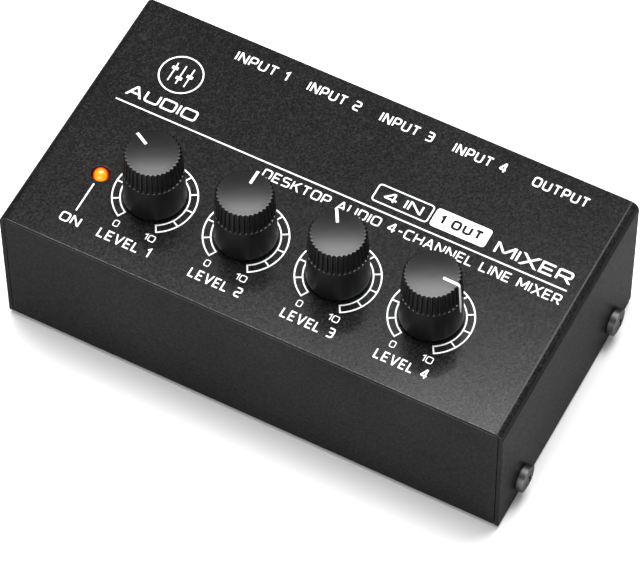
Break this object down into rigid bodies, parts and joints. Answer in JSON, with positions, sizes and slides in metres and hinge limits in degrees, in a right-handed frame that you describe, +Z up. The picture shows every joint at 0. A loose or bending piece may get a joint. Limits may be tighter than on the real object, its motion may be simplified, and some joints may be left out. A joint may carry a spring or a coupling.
{
  "type": "four-channel line mixer",
  "caption": "Small desktop audio line mixer in a folded black steel box, with fluted level knobs on top, a power light, and phone sockets and a DC inlet at the rear.",
  "frame": {"origin": "middle of the overall box, on the surface that the rubber feet stand on", "axes": "+X to the right along the row of knobs, +Y towards the rear wall with the sockets, +Z up"},
  "size_m": [0.1244, 0.0694, 0.054],
  "materials": {
    "case_paint": "fine textured black powder coat",
    "black_screws": "black coated steel, semi-gloss",
    "foot_rubber": "matt",
    "board_laminate": "green solder resist",
    "plated_steel": "bright nickel plate",
    "socket_plastic": "fine moulded black",
    "contact_metal": "tinned spring bronze",
    "pot_can": "plated sheet",
    "shaft_metal": "turned",
    "pot_phenolic": "phenolic board",
    "knob_plastic": "satin moulded black",
    "white_ink": "white",
    "led_lens": "clear red, lit",
    "spacer_nylon": "natural nylon",
    "tinned_wire": "tinned",
    "chip_epoxy": "moulded epoxy",
    "capacitor_sleeve": "shrink sleeve",
    "film_capacitor": "dipped",
    "resistor_body": "lacquered"
  },
  "bodies": {
    "case": {"board_screws": "plated_steel", "board_standoffs": "plated_steel", "chassis": "case_paint", "circuit_board": "board_laminate", "component_leads": "tinned_wire", "cover_screws": "black_screws", "dc_centre_pin": "contact_metal", "dc_jack_housing": "socket_plastic", "dc_spring_contact": "contact_metal", "diodes": "chip_epoxy", "electrolytic_capacitors": "capacitor_sleeve", "film_capacitors": "film_capacitor", "input_jack_1": "socket_plastic", "input_jack_2": "socket_plastic", "input_jack_3": "socket_plastic", "input_jack_4": "socket_plastic", "jack_nuts": "plated_steel", "jack_sleeve_contacts": "contact_metal", "jack_switch_contacts": "contact_metal", "jack_tip_contacts": "contact_metal", "jack_washers": "plated_steel", "led_leads": "tinned_wire", "led_lens": "led_lens", "led_spacer": "spacer_nylon", "opamp_chips": "chip_epoxy", "opamp_legs": "tinned_wire", "output_jack": "socket_plastic", "pot_housing_1": "pot_can", "pot_housing_2": "pot_can", "pot_housing_3": "pot_can", "pot_housing_4": "pot_can", "pot_terminals": "contact_metal", "pot_tracks": "pot_phenolic", "resistors": "resistor_body", "rubber_feet": "foot_rubber", "supply_capacitors": "capacitor_sleeve", "top_cover": "case_paint", "voltage_regulator": "chip_epoxy"},
    "level_knob_1": {"knob_1": "knob_plastic", "pointer_1": "white_ink", "pot_shaft_1": "shaft_metal", "pot_wiper_1": "pot_phenolic"},
    "level_knob_2": {"knob_2": "knob_plastic", "pointer_2": "white_ink", "pot_shaft_2": "shaft_metal", "pot_wiper_2": "pot_phenolic"},
    "level_knob_3": {"knob_3": "knob_plastic", "pointer_3": "white_ink", "pot_shaft_3": "shaft_metal", "pot_wiper_3": "pot_phenolic"},
    "level_knob_4": {"knob_4": "knob_plastic", "pointer_4": "white_ink", "pot_shaft_4": "shaft_metal", "pot_wiper_4": "pot_phenolic"}
  },
  "joints": [
    {"name": "level_1_turn", "type": "hinge", "parent": "case", "child": "level_knob_1", "pos_m": [-0.03277, -0.01495, 0.0375], "axis": [0, 0, 1], "range_deg": [-210, 90]},
    {"name": "level_2_turn", "type": "hinge", "parent": "case", "child": "level_knob_2", "pos_m": [-0.01073, -0.01495, 0.0375], "axis": [0, 0, 1], "range_deg": [-150, 150]},
    {"name": "level_3_turn", "type": "hinge", "parent": "case", "child": "level_knob_3", "pos_m": [0.01132, -0.01495, 0.0375], "axis": [0, 0, 1], "range_deg": [-180, 120]},
    {"name": "level_4_turn", "type": "hinge", "parent": "case", "child": "level_knob_4", "pos_m": [0.03338, -0.01495, 0.0375], "axis": [0, 0, 1], "range_deg": [-60, 240]}
  ]
}
